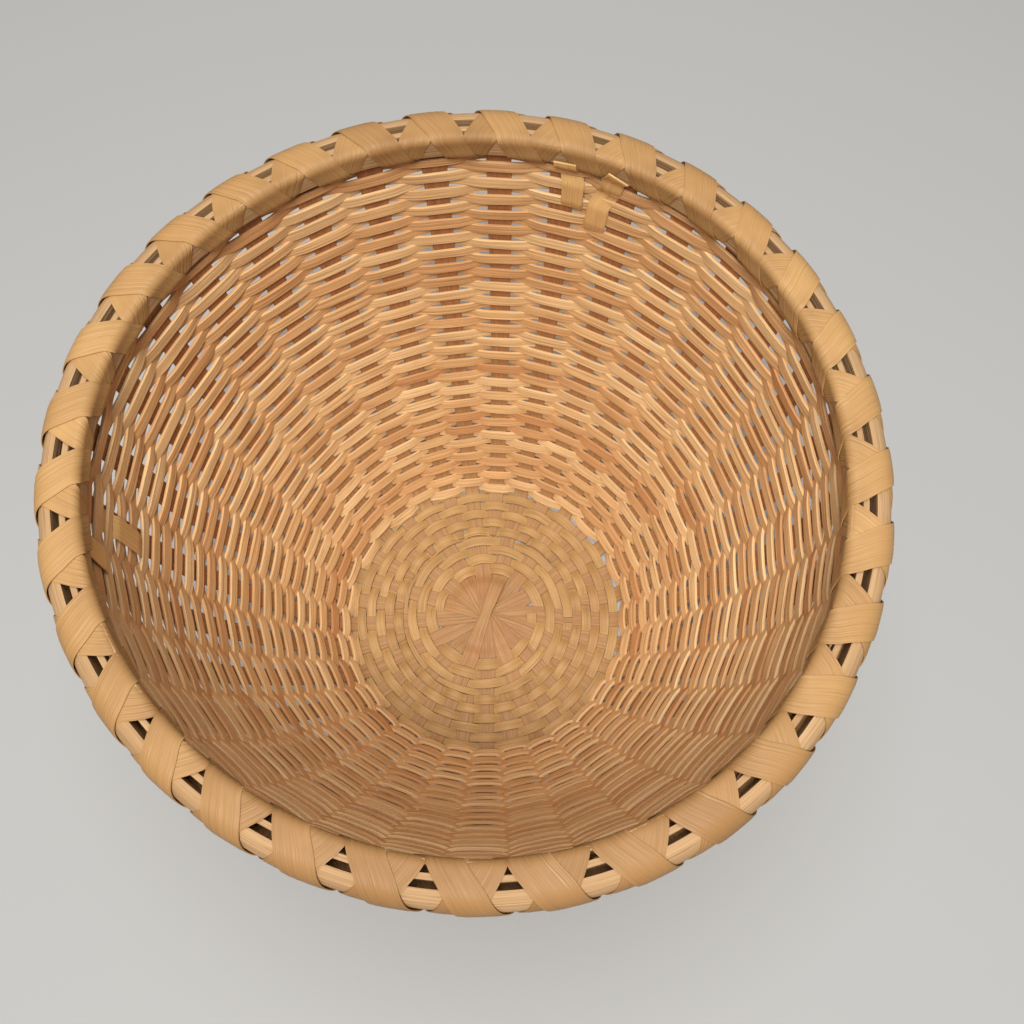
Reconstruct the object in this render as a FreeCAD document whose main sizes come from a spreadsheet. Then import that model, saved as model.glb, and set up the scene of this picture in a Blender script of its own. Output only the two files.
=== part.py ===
"""Round open splint basket: eight hub splints and seventeen side stakes, woven base and wall,
and a rim of two hoops and a filler lashed on with two splints that cross in an X.

Millimetres, +Z up, origin at the middle of the base on the plane the basket stands on.
+Y is the far side of the basket in the usual view, and bearings run clockwise from it seen from above.
"""
import FreeCAD
import Part
import math
import os

Vector = FreeCAD.Vector

DRIVING_DIMENSIONS = {
    "rim_diameter": 380.0,
    "basket_height": 286.0,
    "base_diameter": 178.0,
    "wall_bulge": 20.0,
    "stake_count": 33,
    "hub_splint_count": 8,
    "first_stake_bearing": 92.0,
    "stake_thickness": 1.2,
    "stake_width_at_rim": 13.4,
    "stake_width_at_base": 9.4,
    "hub_splint_width": 7.4,
    "top_hub_splint": 6,
    "hub_splint_thickness": 0.7,
    "hub_radius": 28.0,
    "side_stake_tip_width": 4.0,
    "side_stake_point": 16.0,
    "base_weaver_width": 5.6,
    "base_weaver_thickness": 1.2,
    "base_row_pitch": 6.1,
    "chase_turns": 2,
    "weaver_width": 6.6,
    "weaver_thickness": 1.8,
    "weaver_tip_width": 1.0,
    "row_pitch": 7.1,
    "wall_weaver_count": 20,
    "outer_hoop_height": 18.0,
    "inner_hoop_height": 14.0,
    "outer_hoop_thickness": 8.0,
    "inner_hoop_thickness": 3.0,
    "filler_thickness": 3.0,
    "filler_height": 4.0,
    "filler_recess": 4.0,
    "lashing_width": 14.0,
    "lashing_thickness": 0.8,
    "lashing_tail": 36.0,
    "lashing_tail_width": 7.6,
    "seat_gap": 0.25,
}
COUNTS = ("stake_count", "hub_splint_count", "top_hub_splint", "chase_turns", "wall_weaver_count")

# Straight runs that stand for the wall's curve, and how far out of plane a flat face may be.
WALL_RUNS = 5
FLATNESS = 1e-6

doc = FreeCAD.newDocument("basket")
sheet = doc.addObject("Spreadsheet::Sheet", "Dimensions")


def write_cell(row, alias, value):
    sheet.set(f"A{row}", alias)
    sheet.set(f"B{row}", str(value))
    sheet.setAlias(f"B{row}", alias)


for row_number, (alias, value) in enumerate(DRIVING_DIMENSIONS.items(), start=1):
    write_cell(row_number, alias, value)
doc.recompute()


def dim(alias):
    value = float(sheet.get(alias))
    return int(round(value)) if alias in COUNTS else value


stake_count = dim("stake_count")
spoke_count = 2 * dim("hub_splint_count")
stake_step = 2 * math.pi / stake_count
seat_gap = dim("seat_gap")
base_radius = dim("base_diameter") / 2
stake_thickness = dim("stake_thickness")

# The base weavers lie on the ground under the stakes, and the stakes' middle is this high.
base_lift = (stake_thickness + dim("base_weaver_thickness")) / 2 + seat_gap
stake_plane = base_lift + dim("base_weaver_thickness") / 2

# Two weavers chase each other round the hub splints, and the outer base weaver goes on from the first.
base_pitch = dim("base_row_pitch")
base_half = dim("base_weaver_width") / 2
chase_first = dim("hub_radius") + base_half
chase_last = chase_first + 2 * base_pitch * dim("chase_turns")

# Two layers of lashing cover the hoops on every side.
lashing_layer = dim("lashing_thickness") + 2 * seat_gap
lashing_build = 2 * lashing_layer - seat_gap
hoop_top = dim("basket_height") - lashing_build
hoop_bottom = hoop_top - dim("outer_hoop_height")
inner_hoop_bottom = hoop_top - dim("inner_hoop_height")
outer_hoop_outside = dim("rim_diameter") / 2 - lashing_build
outer_hoop_inside = outer_hoop_outside - dim("outer_hoop_thickness")
filler_bottom = hoop_top - dim("filler_recess") - dim("filler_height")
stake_top = filler_bottom - seat_gap


def bearing_angle(index):
    """Angle from +X of a stake; the indices run clockwise, and a half index is a gap's middle."""
    return math.radians(90 - dim("first_stake_bearing")) - index * stake_step


def spun(radius, height, angle, sideways=0.0):
    """Point at a radius and height in the upright plane at an angle, moved sideways out of it."""
    out_x, out_y = math.cos(angle), math.sin(angle)
    return Vector(radius * out_x - sideways * out_y, radius * out_y + sideways * out_x, height)


def wall_reach(radius, stake_width, slope):
    """How far a weaver's middle stands outside and inside a stake to clear that stake's edges."""
    need = (stake_thickness + dim("weaver_thickness")) / 2 + seat_gap
    share = stake_width / 2 / (radius * math.sin(stake_step))
    fall = radius * (1 - math.cos(stake_step)) * math.sin(slope)
    inside = max(need, need / (1 - 2 * share) - share * fall)
    outside = (need + share * (inside + fall)) / (1 - share)
    return outside, inside


def find_rim_stake_radius():
    """Radius of the stakes' tops, with the weave clear of the outer hoop."""
    radius = outer_hoop_inside
    for _ in range(4):
        outside, _inside = wall_reach(radius, dim("stake_width_at_rim"), math.pi / 2)
        radius = outer_hoop_inside - seat_gap - outside - dim("weaver_thickness") / 2
    return radius


rim_stake_radius = find_rim_stake_radius()


def wall_corners():
    """Ends of the wall's straight runs, on an arc from the base's edge to the stakes' tops."""
    rise = stake_top - stake_plane
    spread = rim_stake_radius - base_radius
    chord = math.hypot(spread, rise)
    bulge = dim("wall_bulge")
    arc_radius = (chord * chord / 4 + bulge * bulge) / (2 * bulge)
    half_turn = math.asin(chord / 2 / arc_radius)
    chord_angle = math.atan2(rise, spread)
    corners = []
    for step in range(WALL_RUNS + 1):
        swing = half_turn * (2 * step / WALL_RUNS - 1)
        along = chord / 2 + arc_radius * math.sin(swing)
        out = arc_radius * (math.cos(swing) - math.cos(half_turn))
        radius = base_radius + along * math.cos(chord_angle) + out * math.sin(chord_angle)
        height = stake_plane + along * math.sin(chord_angle) - out * math.cos(chord_angle)
        corners.append((radius, height))
    return corners


WALL = wall_corners()
WALL_LENGTHS = [math.dist(low, high) for low, high in zip(WALL, WALL[1:])]
wall_length = sum(WALL_LENGTHS)


def wall_place(distance):
    """Radius, height and slope of the stakes' middle at a distance up the wall."""
    run = 0
    while run < WALL_RUNS - 1 and distance > WALL_LENGTHS[run]:
        distance -= WALL_LENGTHS[run]
        run += 1
    (low_r, low_z), (high_r, high_z) = WALL[run], WALL[run + 1]
    slope = math.atan2(high_z - low_z, high_r - low_r)
    return low_r + distance * math.cos(slope), low_z + distance * math.sin(slope), slope


def wall_stake_width(distance):
    low, high = dim("stake_width_at_base"), dim("stake_width_at_rim")
    return low + (high - low) * distance / wall_length


def height_to_distance(height):
    """Distance up the wall's top run to a height."""
    _radius, top_height, slope = wall_place(wall_length)
    return wall_length - (top_height - height) / math.sin(slope)


def find_inner_hoop_outside():
    """Radius that clears the weave where the wall is narrowest inside, at the inner hoop's foot."""
    distance = height_to_distance(inner_hoop_bottom)
    radius, _height, slope = wall_place(distance)
    _outside, inside = wall_reach(radius, wall_stake_width(distance), slope)
    return radius - (inside + dim("weaver_thickness") / 2) * math.sin(slope) - seat_gap


inner_hoop_outside = find_inner_hoop_outside()
inner_hoop_inside = inner_hoop_outside - dim("inner_hoop_thickness")


def between(low, high, share):
    return low + (high - low) * share


def flat_face(corners):
    return Part.Face(Part.makePolygon(list(corners) + [corners[0]]))


def side_faces(first, second, third, fourth):
    """One flat face on four corners, or two that fold along a diagonal where the corners twist."""
    normal = (second - first).cross(third - first)
    if abs(normal.dot(fourth - first)) < FLATNESS * normal.Length:
        return [flat_face((first, second, third, fourth))]
    return [flat_face((first, second, third)), flat_face((first, third, fourth))]


def closed_skin(faces):
    """Solid inside faces that meet all round."""
    skin = Part.makeCompound(faces)
    skin.sewShape()
    solid = Part.makeSolid(skin)
    if solid.Volume < 0:
        solid.reverse()
    return solid


def ribbon(sections):
    """Solid strip through four-cornered sections, with straight runs between them."""
    faces = [flat_face(sections[0]), flat_face(sections[-1])]
    for near, far in zip(sections, sections[1:]):
        for corner in range(4):
            after = (corner + 1) % 4
            faces += side_faces(near[corner], near[after], far[after], far[corner])
    return closed_skin(faces)


def mitred(path):
    """Unit offsets to the left of a path at its points, lengthened at the corners."""
    directions = []
    for (start_u, start_z), (end_u, end_z) in zip(path, path[1:]):
        length = math.hypot(end_u - start_u, end_z - start_z)
        directions.append(((end_u - start_u) / length, (end_z - start_z) / length))
    offsets = []
    for index in range(len(path)):
        before = directions[max(index - 1, 0)]
        after = directions[min(index, len(directions) - 1)]
        sum_u, sum_z = before[0] + after[0], before[1] + after[1]
        stretch = 2 / (sum_u * sum_u + sum_z * sum_z)
        offsets.append((-sum_z * stretch, sum_u * stretch))
    return offsets


def add_piece(label, shape):
    piece = doc.addObject("Part::Feature", label)
    piece.Label = label
    piece.Shape = shape
    return piece


# Stakes: the hub splints and the side stakes.

def base_bearing(index, radius):
    """Angle of a stake on the base; the hub splints are spread evenly at the hub."""
    if not is_spoke(index):
        return bearing_angle(index)
    spoke = index / 2
    even = (spoke - (spoke_count - 1) / 2) * stake_count / spoke_count + spoke_count - 1
    share = (radius - dim("hub_radius")) / (chase_last - dim("hub_radius"))
    return bearing_angle(between(even, index, min(max(share, 0.0), 1.0)))


def base_spoke_width(radius):
    """Width of a hub splint on the base, narrow at the hub and full where the side stakes begin."""
    narrow, full = dim("hub_splint_width"), dim("stake_width_at_base")
    share = (radius - dim("hub_radius")) / (chase_last - dim("hub_radius"))
    return between(narrow, full, min(max(share, 0.0), 1.0))


def outer_base_radius(count):
    """Radius of the outer base weaver at a crossing, counted from its start at the first stake."""
    return chase_last + count * base_pitch / stake_count


def side_stake_start(index):
    """Radius of a side stake's tip, under the first row of the outer base weaver."""
    return outer_base_radius(index) - base_half + seat_gap


def side_stake_width(index, radius):
    """Width of a side stake on the base, from its tip to the end of its point."""
    share = (radius - side_stake_start(index)) / dim("side_stake_point")
    return between(dim("side_stake_tip_width"), dim("stake_width_at_base"), min(max(share, 0.0), 1.0))


def wall_stations():
    """Corners up the wall with the stake's width and thickness there."""
    stations = []
    distance = 0.0
    for corner, length in zip(WALL, [0.0] + WALL_LENGTHS):
        distance += length
        stations.append((corner[0], corner[1], wall_stake_width(distance), stake_thickness))
    return stations


def hub_half(level):
    """Stations of half a hub splint, from beside the middle to the rim, with its middle at a level."""
    waist = dim("hub_splint_width")
    thin = dim("hub_splint_thickness")
    crossing = waist / 2 / math.tan(stake_step) + seat_gap
    stations = [
        (crossing, stake_plane + level, waist, thin),
        (dim("hub_radius"), stake_plane, waist, stake_thickness),
        (chase_last, stake_plane, dim("stake_width_at_base"), stake_thickness),
    ]
    return stations + wall_stations()


def hub_splint(order):
    """Splint across the base and up both sides; each one lies on another at the hub."""
    step = dim("hub_splint_thickness") + seat_gap / 2
    level = ((order - dim("top_hub_splint")) % dim("hub_splint_count") - 1) * step
    half = hub_half(level)
    stations = [(-radius, *rest) for radius, *rest in reversed(half)] + half
    offsets = mitred([station[:2] for station in stations])
    sections = []
    for (across, height, width, thickness), (off_u, off_z) in zip(stations, offsets):
        if across < 0:
            angle = base_bearing(2 * order, -across)
            outward, side = spun(-1, 0, angle), spun(0, 0, angle, 1)
        else:
            angle = base_bearing(2 * order + spoke_count, across)
            outward, side = spun(1, 0, angle), spun(0, 0, angle, -1)
        centre = outward * across + Vector(0, 0, height)
        rise = (outward * off_u + Vector(0, 0, off_z)) * (thickness / 2)
        edge = side * (width / 2)
        left, right = centre + edge, centre - edge
        sections.append((left + rise, right + rise, right - rise, left - rise))
    return ribbon(sections)


def side_stake(index):
    """Stake with a pointed end laid on the base between two hub splints, bent up the wall."""
    angle = bearing_angle(index)
    start = side_stake_start(index)
    full = start + dim("side_stake_point")
    stations = [
        (start, stake_plane, side_stake_width(index, start), stake_thickness),
        (full, stake_plane, side_stake_width(index, full), stake_thickness),
    ] + wall_stations()
    sections = []
    offsets = mitred([station[:2] for station in stations])
    for (radius, height, width, thickness), (off_r, off_z) in zip(stations, offsets):
        lift_r, lift_z = off_r * thickness / 2, off_z * thickness / 2
        sections.append((
            spun(radius + lift_r, height + lift_z, angle, width / 2),
            spun(radius + lift_r, height + lift_z, angle, -width / 2),
            spun(radius - lift_r, height - lift_z, angle, -width / 2),
            spun(radius - lift_r, height - lift_z, angle, width / 2),
        ))
    return ribbon(sections)


def is_spoke(index):
    """True for the stakes that run to the hub: every other one, but not the last."""
    return index % 2 == 0 and index < 2 * spoke_count


# Base weavers: flat strips that bend over and under the stakes.

def base_stake_width(index, radius):
    return base_spoke_width(radius) if is_spoke(index) else side_stake_width(index, radius)


def base_section(index, side, radius, width, height):
    """Section of a base weaver along one edge of a stake, side -1 before it and 1 after it."""
    thickness = dim("base_weaver_thickness")
    corners = []
    for edge in (radius - width / 2, radius + width / 2):
        turn = math.asin((base_stake_width(index, edge) / 2 + seat_gap) / edge)
        angle = base_bearing(index, edge) - side * turn
        top, low = spun(edge, height + thickness / 2, angle), spun(edge, height - thickness / 2, angle)
        corners.append((top, low))
    (inner_top, inner_low), (outer_top, outer_low) = corners
    return inner_top, outer_top, outer_low, inner_low


def base_weaver(crossings):
    """Strip over and under stakes: each crossing is a stake's index, a radius, a width and a lift."""
    sections = []
    for index, radius, width, lift in crossings:
        for side in (-1, 1):
            sections.append(base_section(index, side, radius, width, stake_plane + lift))
    return ribbon(sections)


def chase_lift(weaver, spoke):
    return base_lift if (spoke + weaver) % 2 == 0 else -base_lift


def chase_crossings(weaver):
    """Crossings of one of the two weavers that chase each other round the hub splints."""
    advance = 2 * base_pitch / spoke_count
    begin = weaver * spoke_count // 2
    crossings = []
    for count in range(begin, dim("chase_turns") * spoke_count):
        spoke = count % spoke_count
        radius = chase_first + (count - begin) * advance
        crossings.append((2 * spoke, radius, dim("base_weaver_width"), chase_lift(weaver, spoke)))
    return crossings


def chase_end_crossings():
    """Crossings of the second chase weaver's end, tapered between the first's and the outer weaver."""
    advance = 2 * base_pitch / spoke_count
    margin = base_pitch - base_half
    crossings = []
    for spoke in range(spoke_count):
        low = chase_last - 2 * base_pitch + spoke * advance + margin
        high = outer_base_radius(2 * spoke) - margin
        if high - low < dim("weaver_tip_width"):
            break
        crossings.append((2 * spoke, (low + high) / 2, high - low, chase_lift(1, spoke)))
    return crossings


def outer_base_crossings():
    """Crossings of the weaver that spirals round all the stakes, out to the base's edge."""
    crossings = []
    for count in range(outer_base_count + 1):
        lift = base_lift if count % 2 == 0 else -base_lift
        crossings.append((count % stake_count, outer_base_radius(count), dim("base_weaver_width"), lift))
    return crossings


# Wall weavers: strips that spiral up the wall, inside one stake and outside the next.

def wall_section(index, distance, inside, top_distance):
    """Section of a weaver where it passes a stake, inside or outside it, cut off at a level."""
    radius, height, slope = wall_place(distance)
    outside_reach, inside_reach = wall_reach(radius, wall_stake_width(distance), slope)
    reach = -inside_reach if inside else outside_reach
    out_r, out_z = math.sin(slope), -math.cos(slope)
    up_r, up_z = math.cos(slope), math.sin(slope)
    half_width, half_thickness = dim("weaver_width") / 2, dim("weaver_thickness") / 2
    upper = min(half_width, top_distance - distance)
    angle = bearing_angle(index)
    corners = []
    for up, thick in ((upper, 1), (upper, -1), (-half_width, -1), (-half_width, 1)):
        out = reach + thick * half_thickness
        corners.append(spun(radius + out * out_r + up * up_r, height + out * out_z + up * up_z, angle))
    return tuple(corners)


def trimmed(sections, trim):
    """The same sections with the first and last drawn in, so that strips end to end keep apart."""
    def drawn_in(end, neighbour):
        share = trim / (neighbour[0] - end[0]).Length
        return tuple(corner + (other - corner) * share for corner, other in zip(end, neighbour))
    return [drawn_in(sections[0], sections[1])] + sections[1:-1] + [drawn_in(sections[-1], sections[-2])]


def wall_weaver(first_count, last_count):
    """Strip from one crossing to another, counted along the spiral from its start up the wall."""
    sections = []
    for count in range(first_count, last_count + 1):
        distance = first_distance + (count - first_spiral_count) * dim("row_pitch") / stake_count
        sections.append(wall_section(count % stake_count, distance, count % 2 == 0, weave_top))
    return ribbon(trimmed(sections, seat_gap / 2))


def rim_weaver():
    """Level row that the two hoops close on, above the gap that the lashing passes through."""
    distance = height_to_distance(inner_hoop_bottom + seat_gap) + dim("weaver_width") / 2
    sections = []
    for count in range(stake_count + 1):
        sections.append(wall_section(count % stake_count, distance, count % 2 == 0, wall_length))
    return ribbon(trimmed(sections, seat_gap / 2))


# Lashing: a splint wound round the hoops and through the gaps between the stakes.

def belly_corners():
    """Corners of the outer hoop's rounded side, from its top to its foot."""
    shoulder = (hoop_top - hoop_bottom) / 4
    return [
        (between(outer_hoop_inside, outer_hoop_outside, 0.5), hoop_top),
        (outer_hoop_outside, hoop_top - shoulder),
        (outer_hoop_outside, hoop_bottom),
    ]


def rim_outline():
    """Corners of the hoops' outline, from the inner foot up, over the top and down the outside."""
    return [(inner_hoop_inside, inner_hoop_bottom), (inner_hoop_inside, hoop_top)] + belly_corners()


def loop_corners(layer):
    """Corners of a lashing's turn with its outward offsets, and the share of the turn at each corner."""
    outline = rim_outline()
    closed = [outline[-1]] + outline + [outline[0]]
    offsets = mitred(closed)[1:-1]
    stand_off = seat_gap + dim("lashing_thickness") / 2 + layer * lashing_layer
    lengths = [math.dist(first, second) for first, second in zip(outline, outline[1:] + outline[:1])]
    total = sum(lengths)
    travelled = rim_stake_radius - inner_hoop_inside
    corners = []
    for (radius, height), (off_r, off_z), length in zip(outline, offsets, lengths):
        place = (radius + off_r * stand_off, height + off_z * stand_off)
        corners.append((place, (off_r, off_z), travelled / total))
        travelled += length
    return corners, total


def lashing_section(place, offset, angle, width):
    """Section of a lashing at a radius and height, with its thickness along an offset."""
    (radius, height), (off_r, off_z) = place, offset
    out_r, out_z = off_r * dim("lashing_thickness") / 2, off_z * dim("lashing_thickness") / 2
    return (
        spun(radius + out_r, height + out_z, angle, width / 2),
        spun(radius - out_r, height - out_z, angle, width / 2),
        spun(radius - out_r, height - out_z, angle, -width / 2),
        spun(radius + out_r, height + out_z, angle, -width / 2),
    )


def tail_sections(layer, angle):
    """Sections of a lashing's end, from down the inside of the wall up to the inner hoop's foot."""
    width = dim("lashing_tail_width")
    top = weave_top - seat_gap
    sections = []
    for distance in (top - dim("lashing_tail"), top):
        radius, height, slope = wall_place(distance)
        _outside, inside = wall_reach(radius, wall_stake_width(distance), slope)
        depth = inside + dim("weaver_thickness") / 2 + seat_gap + dim("lashing_thickness") / 2
        inward = (-math.sin(slope), math.cos(slope))
        place = (radius + depth * inward[0], height + depth * inward[1])
        sections.append(lashing_section(place, inward, angle, width))
    stand_off = seat_gap + dim("lashing_thickness") / 2 + layer * lashing_layer
    foot = (inner_hoop_inside - stand_off, inner_hoop_bottom)
    sections.append(lashing_section(foot, (-1, 0), angle, width))
    return sections


def lashing(layer, hand, start_gap):
    """Splint wound once through every gap: hand 1 advances clockwise, -1 the other way."""
    corners, turn_length = loop_corners(layer)
    lean = math.atan2(stake_step * rim_stake_radius, turn_length)
    width = dim("lashing_width") / math.cos(lean)
    sections = []
    for turn in range(stake_count):
        for place, offset, share in corners:
            angle = bearing_angle(start_gap + 0.5 + hand * (turn + share))
            sections.append(lashing_section(place, offset, angle, width))
    tail = tail_sections(layer, bearing_angle(start_gap + 0.5 + hand * corners[1][2]))
    return ribbon(tail + sections[1:])


# Hoops and filler: many-sided rings with a corner at every stake.

def rounded_hoop():
    """Outer hoop, flat on the wall's side, with a rounded shoulder and a foot sloped with the lashing."""
    flat_side = outer_hoop_inside / math.cos(stake_step / 2)
    slope_share = dim("outer_hoop_thickness") / (outer_hoop_outside - inner_hoop_inside)
    inside_foot = between(hoop_bottom, inner_hoop_bottom, slope_share)
    section = [(flat_side, inside_foot), (flat_side, hoop_top)] + belly_corners()
    rings = []
    for index in range(stake_count):
        rings.append([spun(radius, height, bearing_angle(index)) for radius, height in section])
    faces = []
    for near, far in zip(rings, rings[1:] + rings[:1]):
        for corner in range(len(section)):
            after = (corner + 1) % len(section)
            faces += side_faces(near[corner], near[after], far[after], far[corner])
    return closed_skin(faces)


def prism(label, radius, bottom, height):
    """Prism with expressions for its corners' radius, its bottom and its height."""
    item = doc.addObject("Part::Prism", label)
    first_corner = FreeCAD.Rotation(Vector(0, 0, 1), math.degrees(bearing_angle(0)))
    item.Placement = FreeCAD.Placement(Vector(), first_corner)
    item.setExpression("Polygon", "Dimensions.stake_count")
    item.setExpression("Circumradius", radius)
    item.setExpression("Height", height)
    item.setExpression("Placement.Base.z", bottom)
    return item


def ring(label):
    """Ring between two radii and two heights, which are cells named after it."""
    low = f"Dimensions.{label}_bottom_height"
    tall = f"Dimensions.{label}_top_height - {low}"
    cut = doc.addObject("Part::Cut", label)
    cut.Label = label
    cut.Base = prism(label + "_outside", f"Dimensions.{label}_outer_radius", low, tall)
    cut.Tool = prism(label + "_inside", f"Dimensions.{label}_inner_radius",
                     f"{low} - Dimensions.seat_gap", f"{tall} + 2 * Dimensions.seat_gap")
    return cut


def write_rim_cells():
    """Radii and heights of the rim's rings, worked out from the driving dimensions."""
    filler_half = dim("filler_thickness") / 2
    cells = {
        "inner_hoop_bottom_height": inner_hoop_bottom,
        "inner_hoop_top_height": hoop_top,
        "inner_hoop_inner_radius": inner_hoop_inside / math.cos(stake_step / 2),
        "inner_hoop_outer_radius": inner_hoop_outside,
        "rim_filler_bottom_height": filler_bottom,
        "rim_filler_top_height": filler_bottom + dim("filler_height"),
        "rim_filler_inner_radius": rim_stake_radius - filler_half,
        "rim_filler_outer_radius": rim_stake_radius + filler_half,
    }
    for offset, (alias, value) in enumerate(cells.items(), start=1):
        write_cell(len(DRIVING_DIMENSIONS) + offset, alias, value)
    doc.recompute()


write_rim_cells()
pieces = [add_piece("outer_hoop", rounded_hoop()), ring("inner_hoop"), ring("rim_filler")]

for order in range(dim("hub_splint_count")):
    pieces.append(add_piece(f"hub_splint_{order + 1}", hub_splint(order)))
side_indices = [index for index in range(stake_count) if not is_spoke(index)]
for number, index in enumerate(side_indices, start=1):
    pieces.append(add_piece(f"side_stake_{number:02d}", side_stake(index)))

outer_base_count = int((base_radius - base_half - chase_last) / base_pitch * stake_count)
pieces.append(add_piece("base_chase_weaver_1", base_weaver(chase_crossings(0))))
pieces.append(add_piece("base_chase_weaver_2", base_weaver(chase_crossings(1) + chase_end_crossings())))
pieces.append(add_piece("base_outer_weaver", base_weaver(outer_base_crossings())))

# The wall's spiral goes on from the base's, and its last turn tapers under the lashing's gap.
first_spiral_count = outer_base_count + 1
weaver_half = dim("weaver_width") / 2
first_distance = weaver_half + dim("weaver_thickness") + seat_gap
weave_top = height_to_distance(hoop_bottom - lashing_build) - seat_gap
last_distance = weave_top - dim("weaver_tip_width") + weaver_half
spiral_crossings = int((last_distance - first_distance) / dim("row_pitch") * stake_count)
weaver_count = dim("wall_weaver_count")
splices = []
for share in range(weaver_count + 1):
    splices.append(first_spiral_count + round(spiral_crossings * share / weaver_count))
for number, (start, end) in enumerate(zip(splices, splices[1:]), start=1):
    pieces.append(add_piece(f"wall_weaver_{number:02d}", wall_weaver(start, end)))
pieces.append(add_piece("rim_weaver", rim_weaver()))

for label, layer, hand, start_gap in (("lashing_under", 0, 1, 26), ("lashing_over", 1, -1, 16)):
    pieces.append(add_piece(label, lashing(layer, hand, start_gap)))

doc.recompute()
for item in doc.Objects:
    if "Invalid" in item.State or "Error" in item.State:
        raise RuntimeError(f"{item.Label} failed: {item.State}")
for piece in pieces:
    if piece.Shape.isNull() or not piece.Shape.isValid():
        raise RuntimeError(f"{piece.Label} has no valid shape")

os.makedirs("parts", exist_ok=True)
for piece in pieces:
    piece.Shape.exportStep(f"parts/{piece.Label}.step")
print(f"{len(pieces)} pieces, {spiral_crossings / stake_count:.1f} rows up the wall")
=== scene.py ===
"""Round open splint basket: woven base and wall, and a hooped rim lashed in crosses.

Sizes are in millimetres until a mesh is made, and meshes are in metres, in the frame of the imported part.
Stakes are numbered clockwise seen from above, and bearings run clockwise from +Y.
"""

import math

import bpy
import numpy as np
from mathutils import Matrix, Vector

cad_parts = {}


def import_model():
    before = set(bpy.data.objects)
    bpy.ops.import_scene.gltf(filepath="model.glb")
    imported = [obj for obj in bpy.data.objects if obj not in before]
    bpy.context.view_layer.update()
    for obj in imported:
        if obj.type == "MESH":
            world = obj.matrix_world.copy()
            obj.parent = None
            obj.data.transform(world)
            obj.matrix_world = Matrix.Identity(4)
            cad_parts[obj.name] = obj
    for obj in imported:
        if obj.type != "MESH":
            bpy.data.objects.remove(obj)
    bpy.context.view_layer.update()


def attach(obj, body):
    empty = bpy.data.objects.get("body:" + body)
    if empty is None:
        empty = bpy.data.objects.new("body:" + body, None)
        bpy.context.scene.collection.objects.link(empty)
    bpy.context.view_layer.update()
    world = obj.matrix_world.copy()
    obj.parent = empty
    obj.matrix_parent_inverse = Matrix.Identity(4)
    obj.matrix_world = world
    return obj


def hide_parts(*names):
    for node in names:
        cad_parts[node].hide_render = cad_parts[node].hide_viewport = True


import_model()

MM = 0.001

# Stakes; they turn red brown from a distance up the wall, over a distance.
STAKES = 33
SPOKES = 16
STEP = 2 * math.pi / STAKES
FIRST_BEARING = 92.0
STAKE_THICK = 1.2
STAKE_WIDE_RIM = 13.4
STAKE_WIDE_BASE = 9.4
TIP_WIDE = 4.0
TIP_LONG = 16.0
TIP_CLEAR = 0.25
RED_FROM = 10.0
RED_OVER = 200.0
FLAT_SAMPLES = 40
BEND_SAMPLES = 7
CLIMB_SAMPLES = 60

# Hub, where the splints cross; inside an edge they step over each other, and they are thinner there.
HUB_RADIUS = 28.0
HUB_START = 0.8
HUB_WIDE = 10.9
HUB_WAIST = 7.0
HUB_THICK = 0.7
HUB_THINS = 6.0
HUB_STEP = 0.82
HUB_STEP_EDGE = HUB_RADIUS + 1.0
HUB_STEP_EASE = 9.0
HUB_TONE = 0.5
HUB_TONE_REACH = 40.0
TOP_SPLINT = 5

# Base.
BASE_RADIUS = 89.0
STAKE_PLANE = 2.05
BASE_BEND = 7.0
BASE_ROW = 6.1
BASE_WIDE = 5.9
BASE_CLOSE = 1.05
BASE_THICK = 1.2
BASE_LIFT = (STAKE_THICK + BASE_THICK) / 2 + 0.1
BASE_ARCH = 0.8
BASE_SQUARE = 1.7
BASE_OVERHANG = 0.4
BASE_SAMPLES = 10
OUTER_START = 0.3

# Chase strips; each starts narrow and grows over some spokes, and the second ends short of a turn.
CHASE_TURNS = 2
CHASE_REACH = 2.4
CHASE_FIRST = HUB_RADIUS + 2.8
CHASE_LAST = CHASE_FIRST + 2 * BASE_ROW * CHASE_TURNS
CHASE_START = 0.6
CHASE_GROWS = 5.0
CHASE_SHORT = 3.5
CHASE_TIP = 0.8

# Wall; the rows widen from a share of its height on.
RIM_STAKE_RADIUS = 174.9
STAKE_TOP = 275.4
WALL_BULGE = 20.0
WALL_POINTS = 200
WALL_FOOT = 0.4
WALL_WEAVERS = 20
WEAVE_DROP = 2.6
ROW_LOW = 5.7
ROW_HIGH = 6.5
ROW_WIDENS = 0.65
WEAVER_SHARE = 1.07
WEAVER_THICK = 1.7
WEAVER_TIP = 1.2
INSIDE_REACH = 1.75
OUTSIDE_REACH = 1.95
TURN_LOSS = 0.05
WAVE_SQUARE = 1.4
SCARF = 0.4
SCARF_EDGE = 0.3
SPIRAL_POINTS = 2000
SAMPLES = 12

# Rim.
RIM_RADIUS = 190.0
HOOP_TOP = 283.5
OUTER_HOOP_FOOT = 265.8
OUTER_HOOP_IN = 180.0
OUTER_HOOP_OUT = 188.0
OUTER_HOOP_CUT = 1.0
OUTER_HOOP_EASE = 0.6
INNER_HOOP_FOOT = 269.9
INNER_HOOP_IN = 168.9
INNER_HOOP_OUT = 171.1
FILLER_IN = 174.2
FILLER_OUT = 177.0
FILLER_FOOT = 275.8
FILLER_TOP = 282.4
STRIP_EASE = 0.5
BELLY_STEP = 12
BELLY_FULL = 0.7
HOOP_POINTS = 40
HOOP_SAMPLES = 264
EASE_STEPS = 9
RIM_ROW_WIDE = 5.4
RIM_ROW_CLEAR = 0.2
RIM_ROW_GAP = 0.02

# Unevenness of the hoops: the size of each wave, its count round the rim, and its turn for each seed.
HOOP_WAVES = [(0.025, 5, 1), (0.02, 13, 2)]

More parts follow.
